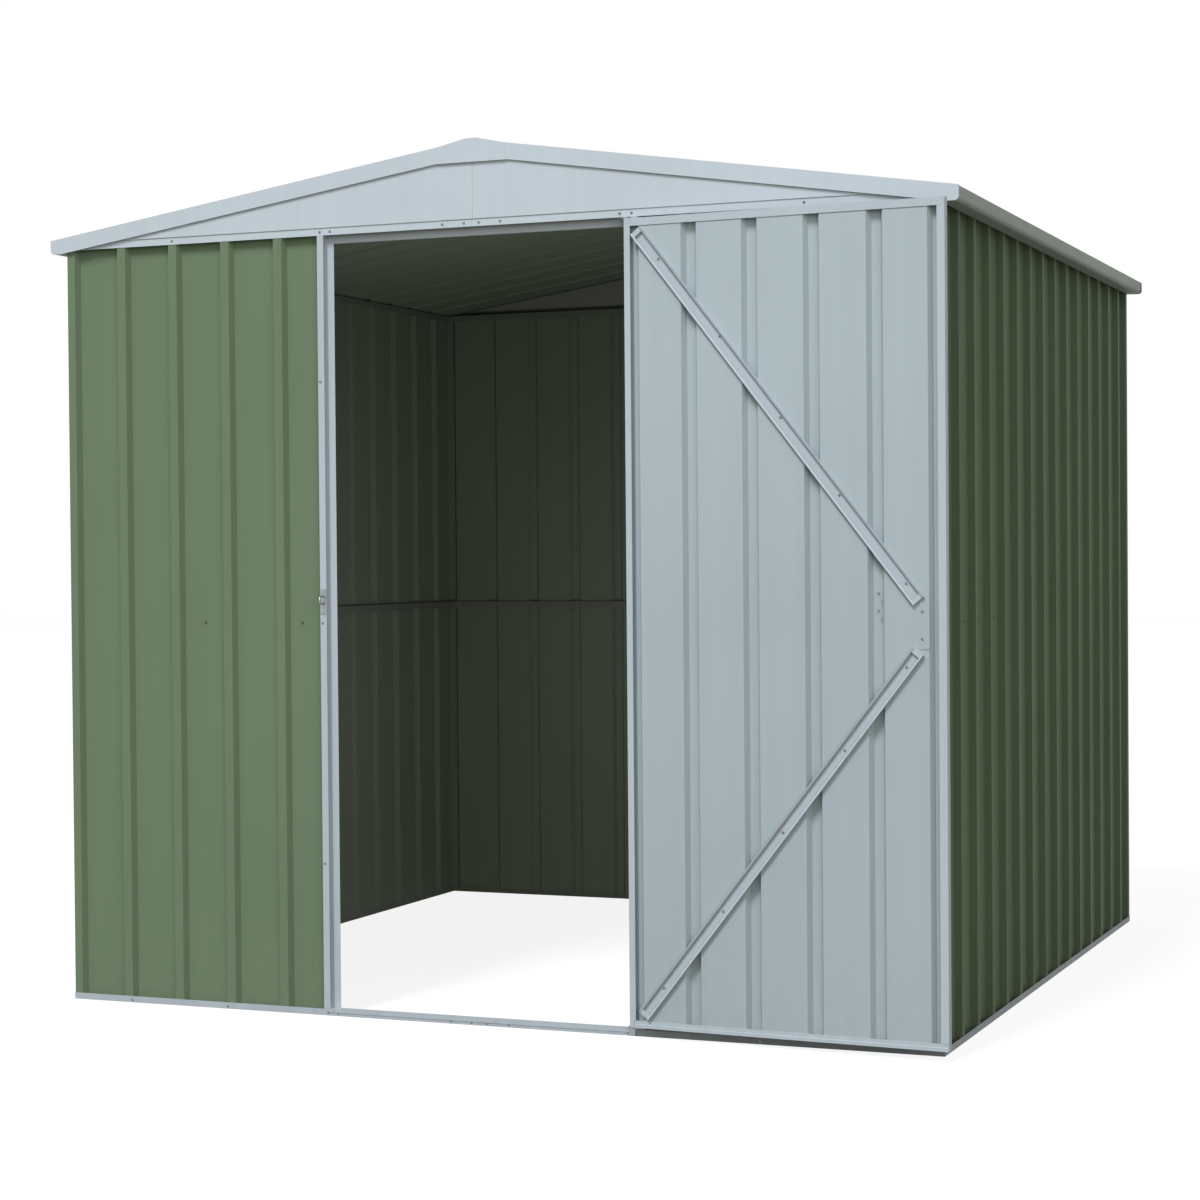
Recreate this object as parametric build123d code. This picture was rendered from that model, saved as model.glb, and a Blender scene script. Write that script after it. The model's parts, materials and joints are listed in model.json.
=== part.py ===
from build123d import *
from math import atan, cos, degrees, hypot
import os

# Metal storage shed: ribbed steel sheets held in folded channels, under a low pitched roof, with one hinged
# door that stands open. Millimetres, +Z up; seen facing the doorway, +X is to the right and -Y to the front.
# The origin is the middle of the threshold, on the underside of the front base channel.

# Walls
width = 2260.0
depth = 2232.0
wall_height = 1912.0
base_leg = 16.0
top_leg = 18.0
seam_from_left = 1127.0
seam_gap = 0.4

# Ribbed sheets
rib_pitch = 148.0
rib_height = 16.0
rib_top = 23.0
rib_run = 8.0
sheet = 0.6
fold = 0.8
ribs_per_sheet = 5
lap = 12.0
joggle = 2.5
corner_flange = 15.0
front_first_rib = 11.0
back_first_rib = 20.0
side_first_rib = 26.0
edge_before_rib = 25.0
rear_edge_top = 23.0
roof_first_rib = 6.0
roof_rib_height = 13.0
least_pan = 2.0

# Clearances
fit_gap = 0.3
lap_gap = 0.1
seat_gap = 0.2
stop_gap = 5.0

# Doorway
opening_width = 799.4
jamb_face = 17.0
stop_reach = 19.5
header_drop = 19.0
header_flange = 10.0
sill_leg = 9.0

# Mid rails and splices
rail_height = 957.0
rail_leg = 16.0
splice_length = 175.0
splice_leg = 12.0

# Roof
roof_slope = 0.1515
overhang = 43.0
verge = 6.0
ridge_gap = 4.0
gable_proud = 2.0
gable_end = 10.0
barge_face = 39.0
barge_top_leg = 25.0
eave_drop = 26.0
eave_radius = 10.0
eave_inside = 3.0
ridge_flange = 88.0
ridge_flat = 26.0
ridge_lift = 3.0
ridge_end_drop = 55.5

# Door leaf
door_width = 766.0
door_bottom = 24.0
door_head_gap = 6.5
hinge_edge_gap = 16.2
hinge_stile_face = 15.0
hinge_stile_ear = 11.5
lock_stile_face = 18.0
top_rail_face = 18.0
bottom_rail_face = 17.0
bottom_rail_step = 8.0
door_first_rib = 160.0
open_angle = 176.7

# Braces: how far each end lies in from an edge of the leaf, and from its top, bottom or middle
brace_width = 30.0
brace_depth = 9.0
brace_lip = 5.0
brace_end_lip = 10.0
upper_brace_hinge_end = (37.0, 37.0)
upper_brace_lock_end = (63.0, 53.5)
lower_brace_lock_end = (60.0, 62.5)
lower_brace_hinge_end = (44.0, 28.0)

# Lock plate on the middle of the leaf's height
lock_plate_width = 23.0
lock_plate_length = 105.0
lock_plate_from_edge = 39.0
lock_plate_thickness = 1.2

# Hinge
pin_radius = 3.0
pin_play = 0.1
pin_past_edge = 4.7
pin_behind_face = 0.4
lug_radius = 6.0
lug_length = 40.0
lug_pad = (2.0, 14.0)
pin_end = 2.0
collar_wall = 2.0
hinge_plate = 1.5
bracket_width = 15.0
bracket_leg = 18.0
bracket_below_door = 4.0
bracket_above_door = 2.0

# Lock keeper on the left jamb
keeper_height = 1007.5
keeper_width = 14.0
keeper_length = 61.0
keeper_thickness = 1.2
loop_above_middle = 3.5
loop_spacing = 18.0
loop_reach = 22.0
loop_radius = 2.5

# Section depths, measured inwards from the outer plane of a wall
channel_width = rib_height + sheet + lap_gap + 2 * (fit_gap + fold)
rib_face = fold + fit_gap
rise = rib_height - sheet
pan_face = rib_face + rise
pan_back = pan_face + sheet
rear_leg = channel_width - fold
rail_web = rear_leg + rail_leg
sheet_bottom = fold + seat_gap
sheet_top = wall_height - fold - seat_gap
half_top = rib_top / 2
foot = half_top + rib_run
door_ahead = channel_width + stop_gap - rear_leg
door_top = wall_height - top_leg - door_head_gap
door_middle = (door_bottom + door_top) / 2

# Roof heights
roof_angle = atan(roof_slope)
steep = 1 / cos(roof_angle)
pan_at_wall = wall_height + seat_gap + (sheet + lap_gap) * steep
roof_end = width / 2 + overhang
eave_end = roof_end - eave_inside
middle = depth / 2 - channel_width / 2


def folded(line, thickness):
    """Outline of bent sheet: one face follows the line and the sheet lies to its left."""
    normals = []
    for (u0, v0), (u1, v1) in zip(line, line[1:]):
        run = hypot(u1 - u0, v1 - v0)
        normals.append(((v0 - v1) / run, (u1 - u0) / run))
    other = []
    for i, (u, v) in enumerate(line):
        a = normals[max(i - 1, 0)]
        b = normals[min(i, len(normals) - 1)]
        share = thickness / (1 + a[0] * b[0] + a[1] * b[1])
        other.append((u + share * (a[0] + b[0]), v + share * (a[1] + b[1])))
    return list(line) + other[::-1]


def upright(outline, bottom, top):
    """A plan outline stood from one height to another."""
    face = make_face(Polyline(*outline, close=True))
    return Pos(0, 0, bottom) * extrude(face, amount=top - bottom, dir=(0, 0, 1))


def along_x(outline, start, end):
    """An outline in Y and Z run along X."""
    face = make_face(Plane.YZ * Polyline(*outline, close=True))
    return Pos(start, 0, 0) * extrude(face, amount=end - start, dir=(1, 0, 0))


def along_y(outline, start, end):
    """An outline in X and Z run along Y."""
    face = make_face(Plane.XZ * Polyline(*outline, close=True))
    return Pos(0, start, 0) * extrude(face, amount=end - start, dir=(0, 1, 0))


def block(start, end):
    """A box between two opposite corners."""
    size = [b - a for a, b in zip(start, end)]
    return Pos(*start) * Box(*size, align=(Align.MIN, Align.MIN, Align.MIN))


def save(name, *solids):
    """Write one named piece, or several alike."""
    shape = solids[0] if len(solids) == 1 else Compound(children=list(solids))
    export_step(shape, f"parts/{name}.step")


def on_front(shape):
    return Pos(-width / 2, -channel_width / 2, 0) * shape


def on_right(shape):
    return Pos(width / 2, -channel_width / 2, 0) * Rot(0, 0, 90) * shape


def on_back(shape):
    return Pos(width / 2, depth - channel_width / 2, 0) * Rot(0, 0, 180) * shape


def left_of(shape):
    return mirror(shape, about=Plane.YZ)


def behind(shape):
    return mirror(shape, about=Plane(origin=(0, middle, 0), z_dir=(0, 1, 0)))


def rib_line(start, end, centres, raised_start=False, raised_end=False, lapped=False, rise=rise):
    """Outer face of a ribbed sheet as an open line of distance along it and height above its pans."""
    line = []
    for centre in centres:
        line += [(centre - foot, 0), (centre - half_top, rise), (centre + half_top, rise), (centre + foot, 0)]
    line = [(start, rise)] + line[2:] if raised_start else [(start, 0)] + line
    if raised_end:
        return line[:-2] + [(end, rise)]
    if lapped:
        under = -(sheet + lap_gap)
        return line + [(end - joggle, 0), (end, under), (end + lap, under)]
    return line + [(end, 0)]


def wall_sheet(line, start_flange=False, end_flange=False):
    """A ribbed sheet stood in its channels, with return flanges at corners."""
    face = [(along, pan_face - height) for along, height in line]
    if start_flange:
        face.insert(0, (face[0][0], face[0][1] + corner_flange))
    if end_flange:
        face.append((face[-1][0], face[-1][1] + corner_flange))
    return upright(folded(face, sheet), sheet_bottom, sheet_top)


def rib_places(first, last):
    """Ribs at the pitch for as long as they leave a pan before the rib at the last place."""
    places = []
    place = first
    while place <= last - 2 * foot - least_pan:
        places.append(place)
        place += rib_pitch
    return places + [last]


def share_ribs(places):
    """The same ribs on three lapped sheets, the last one taking what remains."""
    return places[:ribs_per_sheet], places[ribs_per_sheet:2 * ribs_per_sheet], places[2 * ribs_per_sheet:]


def channel(length, web, edge, start=None, end=None):
    """A channel along a wall: mitred at both corners, or cut square where start or end is given."""
    side = 1 if edge > web else -1
    line = [(0, edge), (0, web), (channel_width, web), (channel_width, edge)]
    bar = along_x(folded(line, side * fold), 0, length)
    gap = seam_gap / 2
    first = (gap, channel_width + gap) if start is None else (start, start)
    last = (length - gap, length - channel_width - gap) if end is None else (end, end)
    plan = [(first[0], 0), (last[0], 0), (last[1], channel_width), (first[1], channel_width)]
    return bar & upright(plan, min(web, edge), max(web, edge))


def base_channel(length, start=None, end=None):
    return channel(length, 0, base_leg, start, end)


def top_channel(length, start=None, end=None):
    return channel(length, wall_height, wall_height - top_leg, start, end)


def splice(web, edge):
    """A short channel lying inside two butted ones."""
    side = 1 if edge > web else -1
    line = [(rib_face, edge), (rib_face, web), (channel_width - rib_face, web), (channel_width - rib_face, edge)]
    start = seam_from_left - splice_length / 2
    return along_x(folded(line, side * fold), start, start + splice_length)


def mid_rail(start, end):
    """A channel across the sheets at half height, its web to the room."""
    low = rail_height - channel_width / 2
    high = rail_height + channel_width / 2
    line = [(rear_leg, low), (rail_web, low), (rail_web, high), (rear_leg, high)]
    return along_x(folded(line, fold), start, end)


def pan_under(x):
    """Height of the underside of the roof's pans at a distance from the ridge line."""
    return pan_at_wall + (width / 2 - x) * roof_slope


def rib_over(x):
    """Height of the top of the roof's ribs."""
    return pan_under(x) + roof_rib_height * steep


os.makedirs("parts", exist_ok=True)

# Channels on the ground and along the tops of the walls
left_seam = seam_from_left - seam_gap / 2
right_seam = seam_from_left + seam_gap / 2
save("base_channel_front", on_front(base_channel(width, end=left_seam)),
     on_front(base_channel(width, start=right_seam)))
save("base_channel_back", on_back(base_channel(width)))
save("base_channel_right", on_right(base_channel(depth)))
save("base_channel_left", left_of(on_right(base_channel(depth))))
save("top_channel_front", on_front(top_channel(width, end=left_seam)),
     on_front(top_channel(width, start=right_seam)))
save("top_channel_back", on_back(top_channel(width)))
save("top_channel_right", on_right(top_channel(depth)))
save("top_channel_left", left_of(on_right(top_channel(depth))))
save("channel_splices", on_front(splice(fold + lap_gap, fold + lap_gap + splice_leg)),
     on_front(splice(wall_height - fold - lap_gap, wall_height - fold - lap_gap - splice_leg)))

# Front panels beside the doorway; each ends in an upturned edge inside its jamb
corner = rib_face + sheet + lap_gap
reveal = (width - opening_width) / 2
jamb_edge = reveal - jamb_face
edge_top = reveal - fold - fit_gap - rib_run
front_ribs = rib_places(front_first_rib, edge_top + half_top)
front_line = rib_line(corner, reveal - fold - fit_gap, front_ribs, raised_start=True, raised_end=True)
front_panel = on_front(wall_sheet(front_line, start_flange=True))
save("front_panel_left", front_panel)
save("front_panel_right", left_of(front_panel))

# Side walls: three sheets each, every sheet lapped under the next
side_ribs = share_ribs(rib_places(side_first_rib, depth - rear_edge_top + half_top))
side_edges = [rib_face, side_ribs[1][0] - edge_before_rib, side_ribs[2][0] - edge_before_rib, depth - rib_face]
for i, place in enumerate(("front", "middle", "rear")):
    line = rib_line(side_edges[i], side_edges[i + 1], side_ribs[i], raised_start=place == "front",
                    raised_end=place == "rear", lapped=place != "rear")
    side_sheet = on_right(wall_sheet(line))
    save(f"right_wall_sheet_{place}", side_sheet)
    save(f"left_wall_sheet_{place}", left_of(side_sheet))

# Back wall
back_ribs = share_ribs(rib_places(back_first_rib, width - back_first_rib))
back_edges = [corner, back_ribs[1][0] - edge_before_rib, back_ribs[2][0] - edge_before_rib, width - corner]
for i, place in enumerate(("right", "middle", "left")):
    line = rib_line(back_edges[i], back_edges[i + 1], back_ribs[i], raised_start=place == "right",
                    raised_end=place == "left", lapped=place != "left")
    back_sheet = wall_sheet(line, start_flange=place == "right", end_flange=place == "left")
    save(f"back_wall_sheet_{place}", on_back(back_sheet))

# Mid rails
front_rail = on_front(mid_rail(rear_leg, jamb_edge - fit_gap))
side_rail = on_right(mid_rail(rail_web + fit_gap, depth - rail_web - fit_gap))
save("mid_rails_front", front_rail, left_of(front_rail))
save("mid_rails_side", side_rail, left_of(side_rail))
save("mid_rail_back", on_back(mid_rail(rear_leg, width - rear_leg)))

# Doorway: jambs with a reveal and a stop, and a header stop over the opening
stop_edge = reveal + stop_reach
sill_top = base_leg + lap_gap + fold
jamb_front = block((jamb_edge, 0, base_leg + seat_gap), (reveal, fold, wall_height - top_leg - seat_gap))
jamb_reveal = block((reveal - fold, 0, base_leg + seat_gap),
                    (reveal, channel_width, wall_height - top_leg - seat_gap))
jamb_rear = block((jamb_edge, rear_leg, sill_top + seat_gap),
                  (stop_edge, channel_width, wall_height - top_leg - seat_gap))
jamb = on_front(jamb_front + jamb_reveal + jamb_rear)
save("door_jamb_left", jamb)
save("door_jamb_right", left_of(jamb))

header_face = channel_width + lap_gap
header_bottom = wall_height - top_leg - header_drop
header_line = [(header_face + header_flange, header_bottom), (header_face, header_bottom),
               (header_face, wall_height - fold)]
header = along_x(folded(header_line, -fold), jamb_edge, width - jamb_edge)
save("door_header", on_front(header))

# Doorway sill: a cover folded over both legs of the base channel, as far as the hinge's foot bracket
pin_x = width / 2 - reveal - hinge_edge_gap + pin_past_edge
sill_outer = lap_gap + fold
sill_line = [(-sill_outer, sill_top - sill_leg), (-sill_outer, sill_top),
             (channel_width + sill_outer, sill_top), (channel_width + sill_outer, sill_top - sill_leg)]
sill_end = width / 2 + pin_x - bracket_width / 2 - fit_gap
save("door_sill", on_front(along_x(folded(sill_line, -fold), reveal + fit_gap, sill_end)))

# Roof sheets, laid over the channels; the left half mirrors the right
roof_ribs = share_ribs(rib_places(roof_first_rib, depth - roof_first_rib))
roof_edges = [fit_gap - verge, roof_ribs[1][0] - edge_before_rib, roof_ribs[2][0] - edge_before_rib,
              depth + verge - fit_gap]
roof_run = eave_end - fold - fit_gap - ridge_gap / 2
right_roof = []
for i in range(3):
    line = rib_line(roof_edges[i], roof_edges[i + 1], roof_ribs[i], raised_start=i == 0, raised_end=i == 2,
                    lapped=i < 2, rise=roof_rib_height - sheet)
    outline = folded(line, -sheet)
    base = pan_under(ridge_gap / 2) + sheet * steep
    face = make_face(Plane.YZ * Polyline(*[(y, base + z * steep) for y, z in outline], close=True))
    down_slope = extrude(face, amount=roof_run * steep, dir=(cos(roof_angle), 0, -roof_slope * cos(roof_angle)))
    right_roof.append(Pos(ridge_gap / 2, -channel_width / 2, 0) * down_slope)
save("roof_sheets_right", *right_roof)
save("roof_sheets_left", *[left_of(one) for one in right_roof])

# Gables: flat sheet in two halves, each with a foot flange on the top channel
gable_foot = wall_height + lap_gap
gable_x = width / 2 - gable_end
gable_front = -gable_proud - channel_width / 2
half = seam_gap / 2
gable_face = [(half, gable_foot), (gable_x, gable_foot), (gable_x, pan_under(gable_x) - fit_gap),
              (half, pan_under(half) - fit_gap)]
gable_half = along_y(gable_face, gable_front, gable_front + sheet)
gable_half += block((half, gable_front, gable_foot), (gable_x, channel_width / 2, gable_foot + sheet))
save("gable_front", gable_half, left_of(gable_half))
save("gable_back", behind(gable_half), behind(left_of(gable_half)))

# Barges: a face along each verge, a leg over the ribs and returns underneath and at the eave end
barge_back_face = -verge - channel_width / 2
barge_front_face = barge_back_face - fold
leg_over = seat_gap + fold
eave_bottom = wall_height - eave_drop
barge_start = ridge_flange + fit_gap
beyond = barge_face + overhang


def rounded_profile(points, corner_x, corner_z, radius):
    """A face in X and Z with the corner nearest one point rounded."""
    face = make_face(Plane.XZ * Polyline(*points, close=True))
    nearest = min(face.vertices(), key=lambda v: hypot(v.X - corner_x, v.Z - corner_z))
    return fillet(nearest, radius)


def barge_outline(inset, above, inward):
    """Barge face for the right-hand slope, drawn in by inset along its lower and end edges."""
    end = roof_end - inset
    low = eave_bottom + inset
    drop = leg_over - barge_face + inset
    level_from = width / 2 + (rib_over(width / 2) + drop - low) / roof_slope
    points = [
        (half - inward, rib_over(half) + drop),
        (level_from, low),
        (end, low),
        (end, rib_over(roof_end) + leg_over + above),
        (barge_start, rib_over(barge_start) + leg_over + above),
        (barge_start, rib_over(barge_start) - lap_gap + above),
        (half - inward, rib_over(half) - lap_gap + above),
    ]
    return rounded_profile(points, end, low, eave_radius - inset)


barge_return = gable_front - lap_gap
barge = Pos(0, barge_front_face, 0) * extrude(
    barge_outline(0, 0, 0), amount=barge_return - barge_front_face, dir=(0, 1, 0))
barge -= Pos(0, barge_back_face, 0) * extrude(
    barge_outline(fold, beyond, beyond), amount=beyond, dir=(0, 1, 0))
leg_ends = (barge_start, eave_end - fold - fit_gap)
leg = [(x, rib_over(x) + seat_gap) for x in leg_ends] + [(x, rib_over(x) + leg_over) for x in leg_ends[::-1]]
barge += along_y(leg, barge_front_face, barge_front_face + barge_top_leg)
save("barge_front", barge, left_of(barge))
save("barge_back", behind(barge), behind(left_of(barge)))

# Eave channels: a rounded gutter-like trim closing the overhang along each side
eave_inner = width / 2 + lap_gap


def eave_outline(inset, above):
    """Section of the eave channel, as high outside as the roof's ribs."""
    end = eave_end - inset
    low = eave_bottom + inset
    points = [
        (eave_inner + inset, wall_height - fold + above),
        (eave_inner + inset, low),
        (end, low),
        (end, rib_over(eave_end) + lap_gap + above),
    ]
    return rounded_profile(points, end, low, eave_radius - inset)


eave_start = barge_return + lap_gap
eave_length = 2 * (middle - eave_start)
eave = extrude(eave_outline(0, 0), amount=eave_length, dir=(0, 1, 0))
eave -= extrude(eave_outline(fold, beyond), amount=eave_length, dir=(0, 1, 0))
eave = Pos(0, eave_start, 0) * eave
save("eave_channel_right", eave)
save("eave_channel_left", left_of(eave))

# Ridge cap: flat along its middle, with its ends folded down over the barges
cap_edge = rib_over(ridge_flange) + seat_gap
cap_top = rib_over(0) + seat_gap + ridge_lift
cap_line = [(-ridge_flange, cap_edge), (-ridge_flat / 2, cap_top), (ridge_flat / 2, cap_top),
            (ridge_flange, cap_edge)]
cap_front = barge_front_face - lap_gap - fold
cap_back = 2 * middle - cap_front
cap = along_y(folded(cap_line, fold), cap_front, cap_back)
cap_low = cap_top - ridge_end_drop
cap_end_outline = [(-ridge_flange, cap_low), (ridge_flange, cap_low)] + cap_line[::-1]
cap_end = along_y(cap_end_outline, cap_front, cap_front + fold)
cap += cap_end + behind(cap_end)
save("ridge_cap", cap)

# Lock keeper: a plate on the left jamb with a loop standing out of it
keeper_x = jamb_edge + jamb_face / 2
keeper = block(
    (keeper_x - keeper_width / 2, -keeper_thickness - lap_gap, keeper_height - keeper_length / 2),
    (keeper_x + keeper_width / 2, -lap_gap, keeper_height + keeper_length / 2))
loop_side = loop_spacing / 2
loop_straight = loop_reach - loop_side - loop_radius
loop_path = (Line((0, -keeper_thickness / 2, -loop_side), (0, -loop_straight, -loop_side))
             + ThreePointArc((0, -loop_straight, -loop_side), (0, -loop_straight - loop_side, 0),
                             (0, -loop_straight, loop_side))
             + Line((0, -loop_straight, loop_side), (0, -keeper_thickness / 2, loop_side)))
loop_section = Plane(origin=loop_path @ 0, z_dir=loop_path % 0) * Circle(loop_radius)
keeper += Pos(keeper_x, 0, keeper_height + loop_above_middle) * sweep(loop_section, path=loop_path)
save("lock_keeper", on_front(keeper))

# Hinge: bracket plates on the frame and pivot lugs on the door, about one vertical pin line
pin_y = -door_ahead + pin_behind_face - channel_width / 2


def bracket(leg_back, flat_low, leg_low, leg_high):
    """A bent plate: one leg flat on a channel, the other level round the pin."""
    left = pin_x - bracket_width / 2
    right = pin_x + bracket_width / 2
    upright_leg = block((left, leg_back - hinge_plate, leg_low), (right, leg_back, leg_high))
    level_leg = block((left, pin_y - lug_radius, flat_low), (right, leg_back, flat_low + hinge_plate))
    hole = Pos(pin_x, pin_y, flat_low) * Cylinder(pin_radius + pin_play, 4 * hinge_plate)
    return upright_leg + level_leg - hole


foot_flat = door_bottom - bracket_below_door - hinge_plate
head_flat = door_top + bracket_above_door
foot_leg_back = -channel_width / 2 - lap_gap
head_leg_back = -channel_width / 2 + fold + lap_gap + hinge_plate
foot_bracket = bracket(foot_leg_back, foot_flat, foot_flat + hinge_plate - bracket_leg, foot_flat + hinge_plate)
head_bracket = bracket(head_leg_back, head_flat, head_flat, head_flat + bracket_leg)
save("hinge_brackets", foot_bracket, head_bracket)

# Door leaf, drawn shut with the pin line at its own origin and then swung open
edge_x = -pin_past_edge
face_y = -pin_behind_face


def on_door(shape):
    """From a leaf whose hinge edge and outer face lie on the axes to where it hangs open."""
    return Pos(pin_x, pin_y, 0) * Rot(0, 0, open_angle) * Pos(edge_x, face_y, 0) * shape


def door_stile(web, edge, low, high):
    """An upright channel of the leaf's frame."""
    side = 1 if edge < web else -1
    line = [(edge, 0), (web, 0), (web, channel_width), (edge, channel_width)]
    return upright(folded(line, side * fold), low, high)


def door_web(start):
    """The web of a stile where it passes the ends of the rails."""
    return block((start, 0, door_bottom), (start + fold, channel_width, door_top))


def door_rail(web, edge, step=0):
    """A level channel of the leaf's frame between the stiles' webs, its faces cut short for the hinge ear."""
    side = 1 if edge > web else -1
    line = [(0, edge), (0, web), (channel_width, web)]
    if step:
        line += [(channel_width, web + side * step), (channel_width - fold, web + side * (step + fold))]
    line.append((line[-1][0], edge))
    rail = along_x(folded(line, side * fold), fold + fit_gap - door_width, -fold - fit_gap)
    inside = web + side * fold
    ear = block((-hinge_stile_ear - fit_gap, -fold, min(inside, edge + side)),
                (0, channel_width + fold, max(inside, edge + side)))
    return rail - ear


def brace(start, end):
    """A shallow tray across the back of the door sheet, with lips turned in round its open side."""
    run = hypot(end[0] - start[0], end[1] - start[1])
    centred = (Align.CENTER, Align.MIN, Align.CENTER)
    tray = Box(brace_width, brace_depth, run, align=centred)
    tray -= Pos(0, fold, 0) * Box(brace_width - 2 * fold, brace_depth - 2 * fold, run - 2 * fold, align=centred)
    tray -= Pos(0, fold, 0) * Box(brace_width - 2 * brace_lip, brace_depth, run - 2 * brace_end_lip, align=centred)
    turn = degrees(atan((end[0] - start[0]) / (end[1] - start[1])))
    place = ((start[0] + end[0]) / 2, pan_back + lap_gap, (start[1] + end[1]) / 2)
    return Pos(*place) * Rot(0, turn, 0) * tray


def pivot(bearing, away):
    """A lug plate on the leaf's end rail with the pin standing on it, away being up or down."""
    base = Pos(-edge_x, -face_y, 0) * Circle(lug_radius)
    near, far = lug_pad
    pad = Polyline((-pin_radius, near), (-lug_length, near), (-lug_length, far), (-pin_radius, far), close=True)
    plate = extrude(make_hull(base.edges() + pad.edges()), amount=away * hinge_plate, dir=(0, 0, 1))
    gap = bracket_below_door if away < 0 else bracket_above_door
    pin_reach = gap + hinge_plate + pin_end
    pin = Pos(-edge_x, -face_y, away * pin_reach / 2) * Cylinder(pin_radius, pin_reach)
    collar_reach = gap - seat_gap
    collar = Pos(-edge_x, -face_y, away * collar_reach / 2) * Cylinder(pin_radius + collar_wall, collar_reach)
    return Pos(0, 0, bearing) * (plate + pin + collar)


# The leaf's ribs keep their pitch from the hinge edge; one that the lock stile cuts ends in a raised edge
leaf_edge = rib_face - door_width
door_ribs = []
rib_place = -door_first_rib
while rib_place + half_top + least_pan > leaf_edge:
    door_ribs.insert(0, rib_place)
    rib_place -= rib_pitch
cut_rib = door_ribs[0] - foot < leaf_edge + least_pan
door_line = rib_line(leaf_edge, -rib_face, door_ribs, raised_start=cut_rib)
door_face = [(along, pan_face - height) for along, height in door_line]
stile_low = door_bottom + bottom_rail_face + seat_gap
stile_high = door_top - top_rail_face - seat_gap
save("door_sheet", on_door(upright(folded(door_face, sheet), door_bottom + sheet_bottom, door_top - sheet_bottom)))
hinge_stile = door_stile(0, -hinge_stile_face, stile_low, stile_high)
hinge_stile += door_stile(0, -hinge_stile_ear, door_bottom + sheet_bottom, door_top - sheet_bottom)
lock_stile = door_stile(-door_width, lock_stile_face - door_width, stile_low, stile_high)
save("door_hinge_stile", on_door(hinge_stile + door_web(-fold)))
save("door_lock_stile", on_door(lock_stile + door_web(-door_width)))
save("door_bottom_rail", on_door(door_rail(door_bottom, door_bottom + bottom_rail_face, bottom_rail_step)))
save("door_top_rail", on_door(door_rail(door_top, door_top - top_rail_face)))

upper_brace = brace((-upper_brace_hinge_end[0], door_top - upper_brace_hinge_end[1]),
                    (upper_brace_lock_end[0] - door_width, door_middle + upper_brace_lock_end[1]))
lower_brace = brace((lower_brace_lock_end[0] - door_width, door_middle - lower_brace_lock_end[1]),
                    (-lower_brace_hinge_end[0], door_bottom + lower_brace_hinge_end[1]))
save("door_braces", on_door(upper_brace), on_door(lower_brace))
plate_edge = lock_plate_from_edge - door_width
plate_back = pan_back + lap_gap
save("door_lock_plate", on_door(block(
    (plate_edge, plate_back, door_middle - lock_plate_length / 2),
    (plate_edge + lock_plate_width, plate_back + lock_plate_thickness, door_middle + lock_plate_length / 2))))
save("door_pivots", on_door(pivot(door_bottom, -1)), on_door(pivot(door_top, 1)))
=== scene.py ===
import json
import math

import bmesh
import bpy
from mathutils import Matrix, Vector


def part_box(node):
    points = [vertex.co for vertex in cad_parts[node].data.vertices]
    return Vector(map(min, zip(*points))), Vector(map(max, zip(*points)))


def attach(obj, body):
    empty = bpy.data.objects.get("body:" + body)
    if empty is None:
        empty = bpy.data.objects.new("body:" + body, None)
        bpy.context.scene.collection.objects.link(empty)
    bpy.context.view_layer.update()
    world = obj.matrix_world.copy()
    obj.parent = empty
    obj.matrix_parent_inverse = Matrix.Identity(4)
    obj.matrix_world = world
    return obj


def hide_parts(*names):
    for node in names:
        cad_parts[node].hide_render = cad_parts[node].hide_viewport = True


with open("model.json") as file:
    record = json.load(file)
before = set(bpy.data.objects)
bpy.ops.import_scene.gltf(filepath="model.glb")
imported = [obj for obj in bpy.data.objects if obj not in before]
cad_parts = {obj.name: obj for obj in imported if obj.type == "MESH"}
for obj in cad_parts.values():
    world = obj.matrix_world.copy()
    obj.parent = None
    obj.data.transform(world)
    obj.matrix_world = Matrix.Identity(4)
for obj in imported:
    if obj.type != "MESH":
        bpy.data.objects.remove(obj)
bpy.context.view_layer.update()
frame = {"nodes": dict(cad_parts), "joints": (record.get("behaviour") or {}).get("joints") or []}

bl_info = {
    "name": "Metal storage shed",
    "version": (1, 0, 0),
    "blender": (4, 5, 0),
    "location": "View3D > Sidebar > Shed",
    "description": "Coats, fastens and lights a sheet-metal shed with its door standing open",
    "category": "Object",
}

NODES = frame["nodes"]

# The outer faces of the base channels, and the top of the walls
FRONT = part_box("base_channel_front")[0].y
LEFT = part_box("base_channel_left")[0].x
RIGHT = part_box("base_channel_right")[1].x
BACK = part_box("base_channel_back")[1].y
WALL_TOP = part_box("top_channel_front")[1].z

# The door's pin, and the turn between the shut door and the open one that is drawn
HINGE = Vector(frame["joints"][0]["pos_m"])
OPEN_TURN = Matrix.Rotation(math.radians(frame["joints"][0]["range_deg"][1]), 4, "Z")

# The door leaf: its ends and width, how far its hinge edge and outer face lie from the pin, how
# far inside the folded frame its ribbed sheet lies, and the air left at that sheet's ends and
# wherever one sheet lies on another
LEAF_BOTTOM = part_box("door_lock_stile")[0].z
LEAF_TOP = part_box("door_lock_stile")[1].z
LEAF_WIDTH = 0.766
EDGE_FROM_PIN = 0.0047
FACE_FROM_PIN = 0.0004
FRAME_FOLD = 0.0011
END_GAP = 0.001
AIR = 0.0001

TOWARDS_FRONT = (0.0, -1.0, 0.0)
TOWARDS_BACK = (0.0, 1.0, 0.0)
TOWARDS_LEFT = (-1.0, 0.0, 0.0)
TOWARDS_RIGHT = (1.0, 0.0, 0.0)


def leaf_spot(from_hinge, height, depth):
    """A spot on the open leaf, from its hinge edge, the ground and its outer face, in metres."""
    shut = Vector((-from_hinge - EDGE_FROM_PIN, depth - FACE_FROM_PIN, height))
    return tuple(OPEN_TURN @ shut + Vector((HINGE.x, HINGE.y, 0)))


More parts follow.
